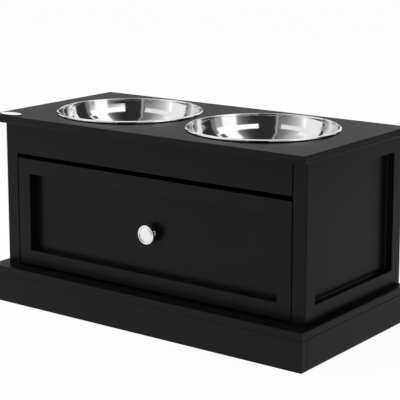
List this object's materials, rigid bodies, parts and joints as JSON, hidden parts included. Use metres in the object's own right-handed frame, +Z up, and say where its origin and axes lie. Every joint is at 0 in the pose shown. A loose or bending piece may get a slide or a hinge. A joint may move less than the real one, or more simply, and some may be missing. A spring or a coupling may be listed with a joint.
{
  "type": "elevated dog feeder with storage",
  "caption": "Low black cabinet with a recessed-panel drawer on roller runners, and steel food bowls that lift out of its top board.",
  "frame": {"origin": "centre of the footprint, on the floor", "axes": "+X to the right seen from the front, +Y to the back, +Z up; the drawer opens towards -Y"},
  "size_m": [0.6, 0.3, 0.3093],
  "materials": {
    "black_paint": "satin black paint on fibreboard",
    "black_board": "thin black faced hardboard",
    "bare_wood": "bare softwood",
    "bowl_steel": "spun and polished stainless steel",
    "polished_metal": "polished nickel",
    "runner_steel": "black powder coat",
    "roller_nylon": "moulded nylon",
    "plated_steel": "zinc plated"
  },
  "bodies": {
    "cabinet": {"top_panel": "black_paint", "left_side_frame": "black_paint", "right_side_frame": "black_paint", "left_side_panel": "black_paint", "right_side_panel": "black_paint", "front_apron": "black_paint", "back_panel": "black_paint", "base_board": "black_paint", "plinth_front": "black_paint", "plinth_back": "black_paint", "plinth_left": "black_paint", "plinth_right": "black_paint", "plinth_corner_blocks": "bare_wood", "badge_plate": "polished_metal", "left_case_runner": "runner_steel", "right_case_runner": "runner_steel", "front_roller_axles": "plated_steel", "case_screws": "plated_steel", "back_screws": "plated_steel", "case_runner_screws": "plated_steel", "top_cams": "plated_steel", "top_cam_bolts": "plated_steel", "top_dowels": "bare_wood", "apron_dowels": "bare_wood"},
    "drawer": {"drawer_front_frame": "black_paint", "drawer_front_panel": "black_paint", "drawer_left_side": "black_paint", "drawer_right_side": "black_paint", "drawer_back": "black_paint", "drawer_bottom": "black_board", "knob": "polished_metal", "knob_screw": "plated_steel", "left_drawer_runner": "runner_steel", "right_drawer_runner": "runner_steel", "rear_roller_axles": "plated_steel", "drawer_runner_screws": "plated_steel", "drawer_back_screws": "plated_steel", "drawer_cams": "plated_steel", "drawer_cam_bolts": "plated_steel"},
    "left_bowl": {"bowl_left": "bowl_steel"},
    "right_bowl": {"bowl_right": "bowl_steel"},
    "front_left_wheel": {"front_left_roller": "roller_nylon"},
    "front_right_wheel": {"front_right_roller": "roller_nylon"},
    "rear_left_wheel": {"rear_left_roller": "roller_nylon"},
    "rear_right_wheel": {"rear_right_roller": "roller_nylon"}
  },
  "joints": [
    {"name": "drawer_slide", "type": "slide", "parent": "cabinet", "child": "drawer", "axis": [0, -1, 0], "range_m": [0, 0.15]},
    {"name": "left_bowl_lift", "type": "slide", "parent": "cabinet", "child": "left_bowl", "axis": [0, 0, 1], "range_m": [0, 0.08]},
    {"name": "right_bowl_lift", "type": "slide", "parent": "cabinet", "child": "right_bowl", "axis": [0, 0, 1], "range_m": [0, 0.08]},
    {"name": "front_left_spin", "type": "hinge", "parent": "cabinet", "child": "front_left_wheel", "pos_m": [-0.2579, -0.079, 0.0742], "axis": [1, 0, 0], "range_deg": [0, 786]},
    {"name": "front_right_spin", "type": "hinge", "parent": "cabinet", "child": "front_right_wheel", "pos_m": [0.2579, -0.079, 0.0742], "axis": [1, 0, 0], "range_deg": [0, 786]},
    {"name": "rear_left_spin", "type": "hinge", "parent": "drawer", "child": "rear_left_wheel", "pos_m": [-0.2578, 0.0963, 0.0727], "axis": [1, 0, 0], "range_deg": [0, 939]},
    {"name": "rear_right_spin", "type": "hinge", "parent": "drawer", "child": "rear_right_wheel", "pos_m": [0.2578, 0.0963, 0.0727], "axis": [1, 0, 0], "range_deg": [0, 939]}
  ],
  "couplings": [
    {"joint": "front_left_spin", "follows": "drawer_slide", "rad_per_m": 90.909},
    {"joint": "front_right_spin", "follows": "drawer_slide", "rad_per_m": 90.909},
    {"joint": "rear_left_spin", "follows": "drawer_slide", "rad_per_m": 108.7},
    {"joint": "rear_right_spin", "follows": "drawer_slide", "rad_per_m": 108.7}
  ]
}
